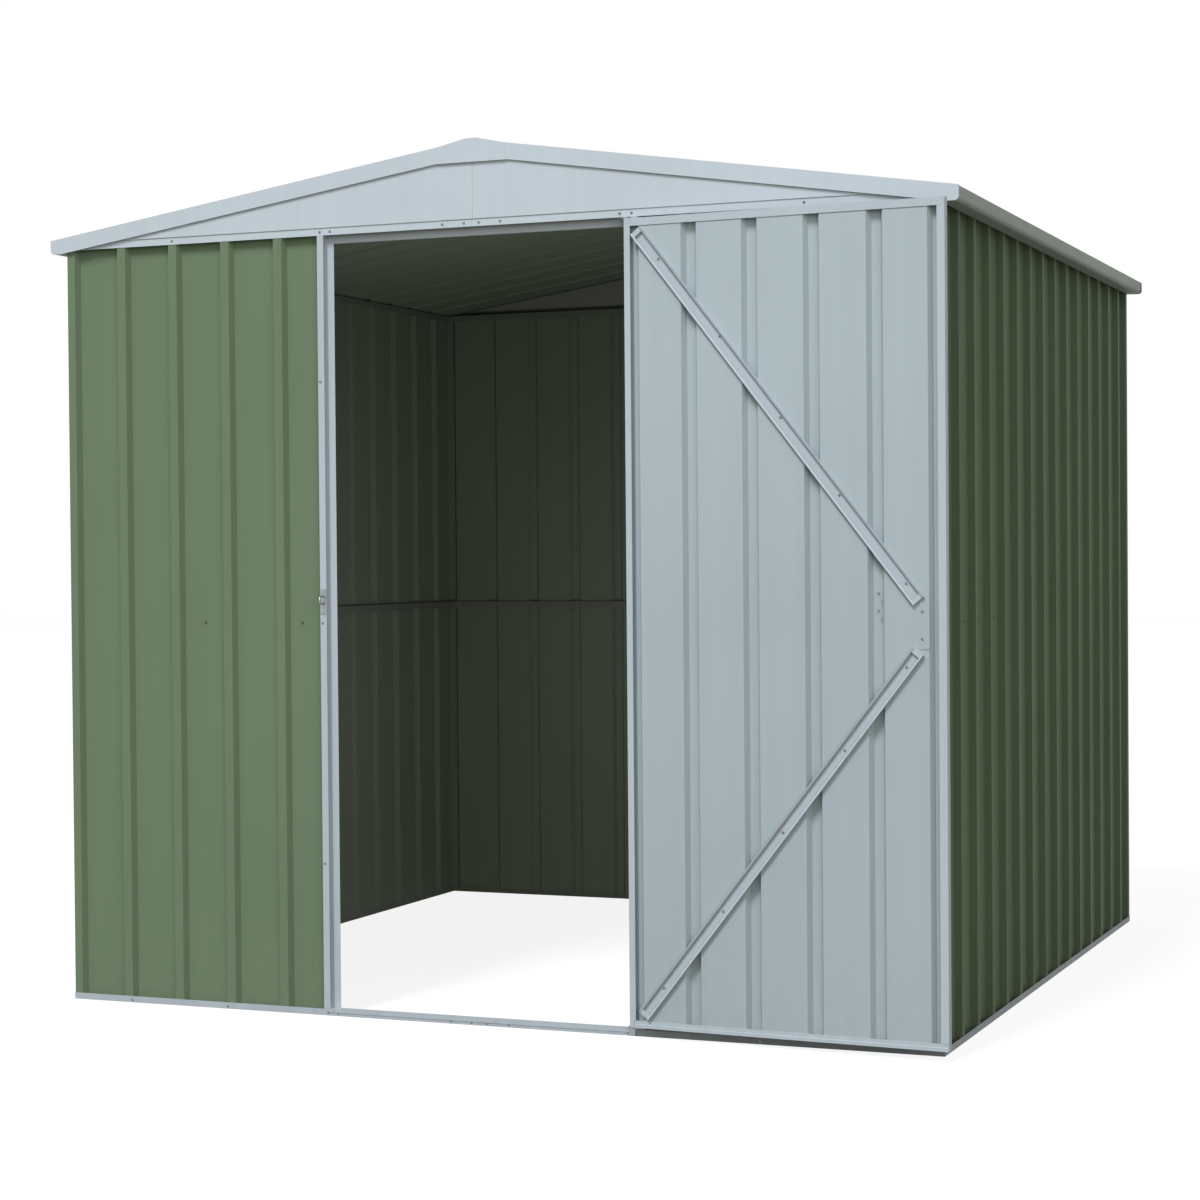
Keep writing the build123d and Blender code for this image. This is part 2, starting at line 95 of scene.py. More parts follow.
def linear(code):
    """An sRGB hex colour as linear red, green and blue."""
    parts = [int(code[i:i + 2], 16) / 255 for i in (1, 3, 5)]
    return tuple(c / 12.92 if c <= 0.04045 else ((c + 0.055) / 1.055) ** 2.4 for c in parts)


def colour_property(name, code, description):
    return bpy.props.FloatVectorProperty(
        name=name, description=description, subtype="COLOR", size=3, min=0, max=1,
        default=linear(code))


def length_property(name, metres, description):
    return bpy.props.FloatProperty(
        name=name, description=description, subtype="DISTANCE", unit="LENGTH", min=0,
        default=metres, precision=4)


def power_property(name, watts, description):
    return bpy.props.FloatProperty(
        name=name, description=description, unit="POWER", min=0, default=watts)


def angle_property(name, degrees, description):
    return bpy.props.FloatProperty(
        name=name, description=description, subtype="ANGLE", default=math.radians(degrees))


class ShedCoatSettings(bpy.types.PropertyGroup):
    sheet_green: colour_property(
        "Sheet green", "#6E8066", "Baked coat on the wall and roof sheets")
    trim_silver: colour_property(
        "Trim silver", "#BEC8CE", "Baked coat on the gables, barges, ridge and channels")
    # Painted shade: the trims' silver drawn darker, for the light that misses the eaves
    eave_painted_shade_silver: colour_property(
        "Eave silver", "#B2BAB5", "Trim silver drawn darker on the eave channels: painted shade")
    door_silver: colour_property(
        "Door silver", "#ADB9BD", "Backing coat on the door's sheet and lock plate")
    frame_silver: colour_property(
        "Frame silver", "#B4BEC4", "Baked coat on the jambs and the door's frame")
    # Painted shade on the gables' room side, drawn lighter as painted light where lamp light falls
    # short
    gable_backing_shade_and_light: colour_property(
        "Gable backing", "#808A77", "Room side of the gables: painted shade, lightened where lamp light falls short")
    # A real backing coat, drawn dark green as painted shade on the channels' room side
    backing: colour_property(
        "Backing coat", "#68755F", "Room side of the channels: a backing drawn dark green as painted shade")
    # Painted shade: the mid rails are drawn dark green all over, like the shaded room
    rail_painted_shade: colour_property(
        "Rail backing", "#6C7463", "Mid rails all over: dark green painted shade, like the shaded room")
    zinc: colour_property(
        "Zinc", "#9DA3A6", "Bright zinc plating on the hinge and lock pieces")
    rivet_grey: colour_property(
        "Rivet grey", "#7C827F", "Dull oxidised aluminium of the rivets")
    dust: colour_property(
        "Dust", "#8E8A7E", "Dry splash of dust low on the walls")
    dust_height: length_property(
        "Dust height", 0.3, "How high the dust reaches above the ground")
    peel_size: length_property(
        "Orange peel", 0.004, "Distance between the ripples of the baked coat")


class ShedFastenerSettings(bpy.types.PropertyGroup):
    rivet_head: length_property(
        "Rivet head", 0.0072, "Across the flange of a pop rivet's dome head")
    rivet_rise: length_property(
        "Rivet rise", 0.0016, "How far a rivet's head stands proud")
    screw_head: length_property(
        "Screw head", 0.0078, "Across the washer of a hexagon-headed screw")
    screw_rise: length_property(
        "Screw rise", 0.0036, "How far a screw's head stands proud")


class ShedDoorSettings(bpy.types.PropertyGroup):
    sheet: length_property(
        "Sheet", 0.0006, "Thickness of the door's ribbed sheet")
    rib_pitch: length_property(
        "Rib pitch", 0.148, "Distance between the sheet's ribs")
    rib_first: length_property(
        "First rib", 0.16, "Distance of the first whole rib from the hinge edge")
    rib_top: length_property(
        "Rib top", 0.023, "Width of a rib's flat top")
    rib_run: length_property(
        "Rib run", 0.008, "Width of a rib's sloping side")
    rib_rise: length_property(
        "Rib rise", 0.0154, "Height of a rib above the sheet's pans")
    raised_hinge_edge: length_property(
        "Raised edge by the hinge", 0.0285, "How far the sheet stays raised by the hinge stile")
    raised_lock_edge: length_property(
        "Raised edge by the lock", 0.0325, "How far the sheet stays raised by the lock stile")
    brace_width: length_property(
        "Brace width", 0.03, "Width of a diagonal brace")
    brace_depth: length_property(
        "Brace depth", 0.009, "Depth of a diagonal brace")
    brace_wall: length_property(
        "Brace wall", 0.0008, "Thickness of a brace's sheet")
    brace_lip: length_property(
        "Brace lip", 0.0042, "Width of the lips along a brace's open side")
    brace_roll: length_property(
        "Brace roll", 0.0018, "How far the inner edge of a brace's lips dips")
    brace_end_lip: length_property(
        "Brace end lip", 0.0115, "Width of the lips across a brace's ends")


class ShedStageSettings(bpy.types.PropertyGroup):
    key_power: power_property(
        "Key light", 10000, "Power of the large soft light high in front")
    key_turn: angle_property(
        "Key to the left", 8, "How far left of straight ahead the key light stands")
    key_lift: angle_property(
        "Key height", 54, "How high the key light stands over the shed's middle")
    front_fill_power: power_property(
        "Front fill", 470, "Power of the soft light low on the right, which opens the shadows")
    fill_power: power_property(
        "Inside fill", 30, "Power of the round soft light inside the shed")
    sky_level: bpy.props.FloatProperty(
        name="Sky level", description="Strength of the light from all round", min=0, max=2,
        default=0.54)
    lens_mm: bpy.props.FloatProperty(
        name="Lens", description="Focal length for a 36 mm sensor", min=10, max=300,
        default=77.0)
    eye: bpy.props.FloatVectorProperty(
        name="Camera place", description="Where the camera stands", subtype="TRANSLATION",
        unit="LENGTH", default=(2.5475, -5.5353, 1.1119))
    pan: angle_property(
        "Pan", 21.99, "Turn of the camera to the left of straight ahead")
    tilt: angle_property(
        "Tilt", -0.973, "Lift of the camera's line of sight")
    roll: angle_property(
        "Roll", -0.457, "Turn of the camera about its line of sight")


# Nearly all of a noise's values lie between these two
NOISE_LOW = 0.3
NOISE_HIGH = 0.7

# Baked coat: the sizes of what varies over it, in metres
PATCH_SIZE = 0.6
RUN_SPACING = 0.03
RUN_LENGTH = 1.2
SMEAR_SIZE = 0.03

# Baked coat: how far the patches drift in colour, the noise at which a run starts and is full,
# what a run leaves of the colour, how much the dust covers at the ground, and its two noises
PATCH_DRIFT = 0.03
RUN_STARTS, RUN_FULL = 0.35, 0.75
RUN_LEVEL = 0.965
DUST_COVER = 0.22
DUST_STARTS, DUST_FULL = 0.42, 0.8

# Baked coat: its low sheen, how much smoother and rougher it gets, and the peel's bump
COAT_SPECULAR = 0.03
SMOOTHER, ROUGHER = 0.05, 0.07
PEEL_STRENGTH = 0.12
PEEL_DEPTH = 0.0005

# Bare metals: the size of their mottling in metres, its darkest and lightest, and the roughness
ZINC_CLOUD = 0.006
ZINC_DARK, ZINC_LIGHT = 0.85, 1.1
ZINC_SMOOTH, ZINC_ROUGH = 0.3, 0.48
ALUMINIUM_MOTTLE = 0.002
ALUMINIUM_DARK, ALUMINIUM_LIGHT = 0.75, 1.15
ALUMINIUM_ROUGHNESS = 0.5


def add(tree, kind, inputs=None, **settings):
    """Adds a node, with its settings, its inputs' values and the links into it."""
    made = tree.nodes.new(kind)
    for key, value in settings.items():
        setattr(made, key, value)
    for key, value in (inputs or {}).items():
        if isinstance(value, bpy.types.NodeSocket):
            tree.links.new(value, made.inputs[key])
        else:
            made.inputs[key].default_value = value
    return made


def rgba(colour):
    return (*colour, 1.0)


def new_material(name):
    """A material with an empty node tree."""
    material = bpy.data.materials.new(name)
    material.use_nodes = True
    material.node_tree.nodes.clear()
    return material, material.node_tree


def baked_coat(name, colour, roughness=0.5, backing=None, low_darkening=0.0):
    """Coil-coated steel: polyester baked on in a line, even, of low sheen and slightly rippled.

    The eye gets a flat colour that drifts a little from place to place, a fine orange peel in
    the highlights, faint runs where rain has washed down, and dry dust splashed up from the
    ground. A backing is the other colour of a sheet that is coated for show on its outer side
    alone: it shows on faces turned to the room, and its colours here are painted shade. The low
    darkening is how much darker the colour is at the ground, fading out at the top of the walls.
    """
    coat = bpy.context.scene.shed_coat
    material, tree = new_material(name)
    place = add(tree, "ShaderNodeTexCoord").outputs["Object"]
    height = add(tree, "ShaderNodeSeparateXYZ", {0: place}).outputs["Z"]

    # Wide patches, in which the colour drifts
    patches = add(tree, "ShaderNodeTexNoise", {
        "Vector": place, "Scale": 1 / PATCH_SIZE, "Detail": 2.0, "Roughness": 0.5})
    drifted = add(tree, "ShaderNodeMapRange", {
        "Value": patches.outputs["Fac"], "From Min": NOISE_LOW, "From Max": NOISE_HIGH,
        "To Min": 1 - PATCH_DRIFT, "To Max": 1 + PATCH_DRIFT})

    # Runs, narrow and long, that darken it
    stretch = add(tree, "ShaderNodeMapping", {
        "Vector": place, "Scale": (1 / RUN_SPACING, 1 / RUN_SPACING, 1 / RUN_LENGTH)})
    runs = add(tree, "ShaderNodeTexNoise", {
        "Vector": stretch.outputs[0], "Scale": 1.0, "Detail": 3.0})
    streaked = add(tree, "ShaderNodeMapRange", {
        "Value": runs.outputs["Fac"], "From Min": RUN_STARTS, "From Max": RUN_FULL,
        "To Min": 1.0, "To Max": RUN_LEVEL})

    # Darker towards the ground by the low darkening, and not at all at the top of the walls
    darkened_low = add(tree, "ShaderNodeMapRange", {
        "Value": height, "From Min": 0.0, "From Max": WALL_TOP,
        "To Min": 1 - low_darkening, "To Max": 1.0})
    level = add(tree, "ShaderNodeMath", {
        0: drifted.outputs[0], 1: streaked.outputs[0]}, operation="MULTIPLY")
    level = add(tree, "ShaderNodeMath", {
        0: level.outputs[0], 1: darkened_low.outputs[0]}, operation="MULTIPLY")

    # A face is turned to the room where its normal points back at the shed's middle
    # The backing colours that come in here are painted shade, dark like the shaded room
    if backing:
        centre = (0.0, (FRONT + BACK) / 2, WALL_TOP / 2)
        outward = add(tree, "ShaderNodeVectorMath", {
            0: place, 1: centre}, operation="SUBTRACT").outputs[0]
        normal = add(tree, "ShaderNodeNewGeometry").outputs["Normal"]
        side = add(tree, "ShaderNodeVectorMath", {
            0: outward, 1: normal}, operation="DOT_PRODUCT").outputs["Value"]
        inside = add(tree, "ShaderNodeMath", {0: side, 1: 0.0}, operation="LESS_THAN").outputs[0]
        colour = add(tree, "ShaderNodeMix", {
            0: inside, 6: rgba(colour), 7: rgba(backing)}, data_type="RGBA").outputs[2]
    tinted = add(tree, "ShaderNodeVectorMath", {
        0: colour, "Scale": level.outputs[0]}, operation="SCALE")

    # Dust splashed up from the ground, in smears broken up into flecks, that thins out upwards
    low = add(tree, "ShaderNodeMapRange", {
        "Value": height, "From Min": 0.0, "From Max": coat.dust_height,
        "To Min": DUST_COVER, "To Max": 0.0})
    smears = add(tree, "ShaderNodeTexNoise", {
        "Vector": place, "Scale": 1 / SMEAR_SIZE, "Detail": 5.0, "Roughness": 0.7})
    splash = add(tree, "ShaderNodeMapRange", {
        "Value": smears.outputs["Fac"], "From Min": DUST_STARTS, "From Max": DUST_FULL,
        "To Min": 0.0, "To Max": 1.0})
    dusty = add(tree, "ShaderNodeMath", {
        0: low.outputs[0], 1: splash.outputs[0]}, operation="MULTIPLY")
    shown = add(tree, "ShaderNodeMix", {
        0: dusty.outputs[0], 6: tinted.outputs[0], 7: rgba(coat.dust)}, data_type="RGBA")

    # Orange peel, drawn coarser than the real 1 to 2 mm so that it shows
    peel = add(tree, "ShaderNodeTexNoise", {
        "Vector": place, "Scale": 1 / coat.peel_size, "Detail": 1.0})
    ripple = add(tree, "ShaderNodeBump", {
        "Height": peel.outputs["Fac"], "Strength": PEEL_STRENGTH, "Distance": PEEL_DEPTH})

    # A sheen that varies with the runs
    sheen = add(tree, "ShaderNodeMapRange", {
        "Value": runs.outputs["Fac"], "From Min": NOISE_LOW, "From Max": NOISE_HIGH,
        "To Min": roughness - SMOOTHER, "To Max": roughness + ROUGHER})
    shader = add(tree, "ShaderNodeBsdfPrincipled", {
        "Base Color": shown.outputs[2], "Metallic": 0.0, "Roughness": sheen.outputs[0],
        "IOR": 1.5, "Specular IOR Level": COAT_SPECULAR, "Normal": ripple.outputs[0]})
    add(tree, "ShaderNodeOutputMaterial", {"Surface": shader.outputs[0]})
    return material


def zinc_plate(name):
    """Zinc-plated and passivated steel: a cool bright grey, cloudy in patches a few mm across."""
    colour = bpy.context.scene.shed_coat.zinc
    material, tree = new_material(name)
    place = add(tree, "ShaderNodeTexCoord").outputs["Object"]
    clouds = add(tree, "ShaderNodeTexNoise", {
        "Vector": place, "Scale": 1 / ZINC_CLOUD, "Detail": 4.0})
    level = add(tree, "ShaderNodeMapRange", {
        "Value": clouds.outputs["Fac"], "From Min": NOISE_LOW, "From Max": NOISE_HIGH,
        "To Min": ZINC_DARK, "To Max": ZINC_LIGHT})
    tinted = add(tree, "ShaderNodeVectorMath", {
        0: colour, "Scale": level.outputs[0]}, operation="SCALE")
    rough = add(tree, "ShaderNodeMapRange", {
        "Value": clouds.outputs["Fac"], "From Min": NOISE_LOW, "From Max": NOISE_HIGH,
        "To Min": ZINC_SMOOTH, "To Max": ZINC_ROUGH})
    shader = add(tree, "ShaderNodeBsdfPrincipled", {
        "Base Color": tinted.outputs[0], "Metallic": 1.0, "Roughness": rough.outputs[0]})
    add(tree, "ShaderNodeOutputMaterial", {"Surface": shader.outputs[0]})
    return material


def dull_aluminium(name):
    """Bare aluminium of pop rivets gone dull: a dark grey satin metal, mottled in each head."""
    colour = bpy.context.scene.shed_coat.rivet_grey
    material, tree = new_material(name)
    place = add(tree, "ShaderNodeTexCoord").outputs["Object"]
    mottle = add(tree, "ShaderNodeTexNoise", {
        "Vector": place, "Scale": 1 / ALUMINIUM_MOTTLE, "Detail": 2.0})
    level = add(tree, "ShaderNodeMapRange", {
        "Value": mottle.outputs["Fac"], "From Min": NOISE_LOW, "From Max": NOISE_HIGH,
        "To Min": ALUMINIUM_DARK, "To Max": ALUMINIUM_LIGHT})
    tinted = add(tree, "ShaderNodeVectorMath", {
        0: colour, "Scale": level.outputs[0]}, operation="SCALE")
    shader = add(tree, "ShaderNodeBsdfPrincipled", {
        "Base Color": tinted.outputs[0], "Metallic": 1.0, "Roughness": ALUMINIUM_ROUGHNESS})
    add(tree, "ShaderNodeOutputMaterial", {"Surface": shader.outputs[0]})
    return material


def coat_nodes(material, names):
    """Gives CAD nodes their finish."""
    for name in names:
        slots = NODES[name].material_slots
        if not slots:
            raise RuntimeError(f"{name} has no material slot")
        for each in slots:
            each.material = material


def named(*starts):
    """The CAD nodes whose names start in one of these ways."""
    return [name for name in NODES if name.startswith(starts)]


def material_called(name):
    found = bpy.data.materials.get(name)
    if found is None:
        raise RuntimeError(f"{name} isn't made yet")
    return found


class ShedCoatSheets(bpy.types.Operator):
    """Coats the ribbed wall and roof sheets green, inside and out"""
    bl_idname = "shed.coat_sheets"
    bl_label = "Coat the sheets"

    def execute(self, context):
        coat = context.scene.shed_coat
        green = baked_coat("Green baked polyester", coat.sheet_green, roughness=0.55)
        coat_nodes(green, named(
            "front_panel", "left_wall", "right_wall", "back_wall", "roof_sheets"))
        return {"FINISHED"}


class ShedCoatTrims(bpy.types.Operator):
    """Coats the trims, mid rails, gables and channels; eaves, rails and room-side backings get
    painted shade
    """
    bl_idname = "shed.coat_trims"
    bl_label = "Coat the trims"

    def execute(self, context):
        coat = context.scene.shed_coat
        silver = baked_coat("Silver baked polyester", coat.trim_silver)
        # Painted shade on the eaves: a darker copy of the trim silver
        eave_painted_shade = baked_coat("Painted-shade silver baked polyester", coat.eave_painted_shade_silver)
        # Painted shade on the channels' room side
        shade_backed = baked_coat(
            "Silver polyester with a painted-shade backing", coat.trim_silver, backing=coat.backing)
        # Painted shade on the gables' room side, lighter as painted light where lamp light falls
        # short
        shade_and_light_backed = baked_coat(
            "Silver polyester with a grey backing", coat.trim_silver, backing=coat.gable_backing_shade_and_light)
        # Painted shade all over the mid rails
        rail_shade_coat = baked_coat("Painted shade for the mid rails", coat.rail_painted_shade)
        coat_nodes(silver, named("barge", "ridge_cap"))
        coat_nodes(eave_painted_shade, named("eave"))
        coat_nodes(shade_backed, named("base_channel", "top_channel", "channel_splices"))
        coat_nodes(shade_and_light_backed, named("gable"))
        coat_nodes(rail_shade_coat, named("mid_rail"))
        return {"FINISHED"}


class ShedCoatDoorway(bpy.types.Operator):
    """Coats the jambs, the header, the sill and the door's frame"""
    bl_idname = "shed.coat_doorway"
    bl_label = "Coat the doorway"

    def execute(self, context):
        coat = context.scene.shed_coat
        silver = baked_coat("Frame silver baked polyester", coat.frame_silver)
        coat_nodes(silver, named(
            "door_jamb", "door_header", "door_sill",
            "door_hinge_stile", "door_lock_stile", "door_top_rail", "door_bottom_rail"))
        return {"FINISHED"}


class ShedCoatDoor(bpy.types.Operator):
    """Coats the door's ribbed sheet and lock plate"""
    bl_idname = "shed.coat_door"
    bl_label = "Coat the door sheet"

    def execute(self, context):
        coat = context.scene.shed_coat
        # The door's coat is drawn darker towards the ground
        silver = baked_coat("Door silver baked polyester", coat.door_silver, low_darkening=0.1)
        coat_nodes(silver, ["door_sheet", "door_lock_plate"])
        return {"FINISHED"}


def folded(line, thickness):
    """Outline of bent sheet: one face follows the line and the sheet lies to its left."""
    normals = []
    for (u0, v0), (u1, v1) in zip(line, line[1:]):
        run = math.hypot(u1 - u0, v1 - v0)
        normals.append(((v0 - v1) / run, (u1 - u0) / run))
    other = []
    for i, (u, v) in enumerate(line):
        a = normals[max(i - 1, 0)]
        b = normals[min(i, len(normals) - 1)]
        share = thickness / (1 + a[0] * b[0] + a[1] * b[1])
        other.append((u + share * (a[0] + b[0]), v + share * (a[1] + b[1])))
    return list(line) + other[::-1]


def run_out(mesh, outline, place, start, end):
    """Runs a bent sheet's outline out from start to end, place giving each point its spot."""
    count = len(outline)
    corners = [mesh.verts.new(place(u, v, along)) for along in (start, end) for u, v in outline]
    for i in range(count):
        j = (i + 1) % count
        mesh.faces.new([corners[k] for k in (i, j, j + count, i + count)])
    for i in range(count // 2 - 1):
        for base in (0, count):
            mesh.faces.new([
                corners[base + k] for k in (i, i + 1, count - 2 - i, count - 1 - i)])


def set_sheet_piece(name, mesh, finish, node):
    """Turns bent sheet into a piece that rides on the door in place of a plainer CAD node."""
    bmesh.ops.recalc_face_normals(mesh, faces=mesh.faces)
    plain = bpy.data.meshes.new(name)
    mesh.to_mesh(plain)
    mesh.free()
    plain.materials.append(finish)
    piece = bpy.data.objects.new(name, plain)
    bpy.context.scene.collection.objects.link(piece)
    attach(piece, "door")
    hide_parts(node)


class ShedFoldDoorSheet(bpy.types.Operator):
    """Folds the door's ribbed sheet, with the raised edge that it has beside the hinge stile"""
    bl_idname = "shed.fold_door_sheet"
    bl_label = "Fold the door sheet"

    def execute(self, context):
        sizes = context.scene.shed_door
        edge = FRAME_FOLD
        high = edge + sizes.rib_rise
        half = sizes.rib_top / 2
        foot = half + sizes.rib_run
        hinge_flank = sizes.raised_hinge_edge
        lock_flank = LEAF_WIDTH - sizes.raised_lock_edge - sizes.rib_run

        # Across the leaf: each point's distance from the hinge edge and from the outer face
        line = [(edge, edge), (hinge_flank, edge), (hinge_flank + sizes.rib_run, high)]
        centre = sizes.rib_first
        while centre + foot < lock_flank:
            line += [(centre - foot, high), (centre - half, edge),
                     (centre + half, edge), (centre + foot, high)]
            centre += sizes.rib_pitch
        line += [(lock_flank, high), (lock_flank + sizes.rib_run, edge),
                 (LEAF_WIDTH - edge, edge)]
        mesh = bmesh.new()
        run_out(mesh, folded(line, sizes.sheet), lambda s, d, z: leaf_spot(s, z, d),
                LEAF_BOTTOM + END_GAP, LEAF_TOP - END_GAP)
        finish = material_called("Door silver baked polyester")
        set_sheet_piece("door_ribbed_sheet", mesh, finish, "door_sheet")
        return {"FINISHED"}


class ShedFoldBraces(bpy.types.Operator):
    """Folds the two diagonal braces with their narrow lips"""
    bl_idname = "shed.fold_braces"
    bl_label = "Fold the braces"

    def execute(self, context):
        sizes = context.scene.shed_door

        # Where each brace starts and ends, from the hinge edge and the ground
        middle = (LEAF_BOTTOM + LEAF_TOP) / 2
        upper = (0.0305, LEAF_TOP - 0.0295), (LEAF_WIDTH - 0.063, middle + 0.0535)
        lower = (LEAF_WIDTH - 0.064, middle - 0.0565), (0.037, LEAF_BOTTOM + 0.03)
        mesh = bmesh.new()
        for start, end in (upper, lower):
            self.fold(mesh, sizes, Vector(start), Vector(end))
        finish = material_called("Frame silver baked polyester")
        set_sheet_piece("door_lipped_braces", mesh, finish, "door_braces")
        return {"FINISHED"}

    def fold(self, mesh, sizes, start, end):
        """One brace: a lipped channel, closed at its ends by a turned-up wall with its own lip."""
        along = (end - start).normalized()
        across = Vector((-along.y, along.x))
        floor = FRAME_FOLD + sizes.rib_rise + sizes.sheet + AIR
        rim = floor + sizes.brace_depth
        half = sizes.brace_width / 2
        wall = sizes.brace_wall
        run = (end - start).length

        def lengthwise(u, depth, far):
            spot = start + far * along + u * across
            return leaf_spot(spot.x, spot.y, depth)

        def endwise(far, depth, u):
            return lengthwise(u, depth, far)

        inner = half - sizes.brace_lip
        dipped = rim - sizes.brace_roll
        side = [(-inner, dipped), (-half, rim), (-half, floor),
                (half, floor), (half, rim), (inner, dipped)]
        run_out(mesh, folded(side, wall), lengthwise, 0.0, run)

        # The end lips are tucked under the side lips
        tucked = dipped - wall - AIR
        for base, way in ((0.0, 1), (run, -1)):
            tip = base + way * sizes.brace_end_lip
            turned = [(base, floor + wall), (base, tucked), (tip, tucked)]
            run_out(mesh, folded(turned, -way * wall), endwise, wall - half, half - wall)


class ShedPlateHardware(bpy.types.Operator):
    """Plates the hinge and the keeper with zinc, and makes the rivets' aluminium"""
    bl_idname = "shed.plate_hardware"
    bl_label = "Plate the hardware"

    def execute(self, context):
        zinc = zinc_plate("Zinc-plated steel")
        coat_nodes(zinc, ["lock_keeper", "hinge_brackets", "door_pivots"])
        dull_aluminium("Dull aluminium")
        return {"FINISHED"}


# A fastener's head is a flat flange with a dome or a hexagon on it: the number of the hexagon's
# sides, none standing for a dome, and how finely the round parts are drawn
HEXAGON = 6
DOME = 0
FLANGE_SIDES = 20
DOME_SEGMENTS, DOME_RINGS = 16, 8

# The flange's thickness as a share of the head's rise, and the rest as shares of its radius
FLANGE_RISE = 0.3
FLANGE_TOP = 0.88
HEXAGON_FOOT = 0.68
HEXAGON_TOP = 0.6
DOME_FOOT = 0.72


def fastener_tree(name, sides):
    """Geometry Nodes that stand a head on every point, facing the way its attribute says."""
    tree = bpy.data.node_groups.new(name, "GeometryNodeTree")
    face = tree.interface
    face.new_socket("Points", in_out="INPUT", socket_type="NodeSocketGeometry")
    for label in ("Head across", "Head rise"):
        size = face.new_socket(label, in_out="INPUT", socket_type="NodeSocketFloat")
        size.subtype = "DISTANCE"
    face.new_socket("Finish", in_out="INPUT", socket_type="NodeSocketMaterial")
    face.new_socket("Heads", in_out="OUTPUT", socket_type="NodeSocketGeometry")
    given = add(tree, "NodeGroupInput").outputs
    rise = given["Head rise"]
    radius = add(tree, "ShaderNodeMath", {
        0: given["Head across"], 1: 0.5}, operation="MULTIPLY").outputs[0]

    thin = add(tree, "ShaderNodeMath", {
        0: rise, 1: FLANGE_RISE}, operation="MULTIPLY").outputs[0]
    upper = add(tree, "ShaderNodeMath", {
        0: radius, 1: FLANGE_TOP}, operation="MULTIPLY").outputs[0]
    flange = add(tree, "GeometryNodeMeshCone", {
        "Vertices": FLANGE_SIDES, "Radius Top": upper, "Radius Bottom": radius,
        "Depth": thin}).outputs["Mesh"]
    if sides:
        foot = add(tree, "ShaderNodeMath", {
            0: radius, 1: HEXAGON_FOOT}, operation="MULTIPLY").outputs[0]
        top = add(tree, "ShaderNodeMath", {
            0: radius, 1: HEXAGON_TOP}, operation="MULTIPLY").outputs[0]
        body = add(tree, "GeometryNodeMeshCone", {
            "Vertices": sides, "Radius Top": top, "Radius Bottom": foot,
            "Depth": rise}).outputs["Mesh"]
    else:
        ball = add(tree, "GeometryNodeMeshUVSphere", {
            "Segments": DOME_SEGMENTS, "Rings": DOME_RINGS, "Radius": 1.0}).outputs["Mesh"]
        foot = add(tree, "ShaderNodeMath", {
            0: radius, 1: DOME_FOOT}, operation="MULTIPLY").outputs[0]
        squashed = add(tree, "ShaderNodeCombineXYZ", {
            "X": foot, "Y": foot, "Z": rise}).outputs[0]
        body = add(tree, "GeometryNodeTransform", {
            "Geometry": ball, "Scale": squashed}).outputs[0]
    head = add(tree, "GeometryNodeJoinGeometry")
    tree.links.new(body, head.inputs[0])
    tree.links.new(flange, head.inputs[0])

    facing = add(tree, "GeometryNodeInputNamedAttribute", {
        "Name": "facing"}, data_type="FLOAT_VECTOR")
    turned = add(tree, "FunctionNodeAlignRotationToVector", {
        "Vector": facing.outputs[0]}, axis="Z")
    stood = add(tree, "GeometryNodeInstanceOnPoints", {
        "Points": given["Points"], "Instance": head.outputs[0], "Rotation": turned.outputs[0]})
    real = add(tree, "GeometryNodeRealizeInstances", {0: stood.outputs[0]})
    finished = add(tree, "GeometryNodeSetMaterial", {
        "Geometry": real.outputs[0], "Material": given["Finish"]})
    add(tree, "NodeGroupOutput", {0: finished.outputs[0]})
    return tree


def set_fasteners(name, body, spots, sides, across, rise, finish):
    """Makes one plain mesh of heads from (place, facing) pairs, and lets it ride on its body."""
    mesh = bpy.data.meshes.new(name + "_points")
    mesh.from_pydata([spot for spot, _ in spots], [], [])
    facing = mesh.attributes.new("facing", "FLOAT_VECTOR", "POINT")
    facing.data.foreach_set("vector", [c for _, way in spots for c in way])
    holder = bpy.data.objects.new(name + "_points", mesh)
    bpy.context.scene.collection.objects.link(holder)
    label = "Hexagon screw heads" if sides else "Pop rivet heads"
    tree = bpy.data.node_groups.get(label) or fastener_tree(label, sides)
    heads = holder.modifiers.new("heads", "NODES")
    heads.node_group = tree
    sockets = {item.name: item.identifier for item in tree.interface.items_tree
               if item.in_out == "INPUT"}
    heads[sockets["Head across"]] = across
    heads[sockets["Head rise"]] = rise
    heads[sockets["Finish"]] = finish
    bpy.context.view_layer.update()
    evaluated = holder.evaluated_get(bpy.context.evaluated_depsgraph_get())
    plain = bpy.data.meshes.new_from_object(evaluated)
    holder.modifiers.clear()
    bpy.data.objects.remove(holder)
    plain.name = name
    piece = bpy.data.objects.new(name, plain)
    bpy.context.scene.collection.objects.link(piece)
    if not plain.polygons:
        raise RuntimeError(f"{name} came out empty")
    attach(piece, body)


def on_front(from_left, height, inset=0.0):
    """A spot on the front, in millimetres from the left corner, the ground and the outer face."""
    return (LEFT + from_left / 1000, FRONT + inset / 1000, height / 1000), TOWARDS_FRONT


def on_door(from_hinge, height, depth):
    """A spot on the open door's back, like leaf_spot, but in millimetres."""
    facing = tuple(OPEN_TURN @ Vector(TOWARDS_BACK))
    return leaf_spot(from_hinge / 1000, height / 1000, depth / 1000), facing


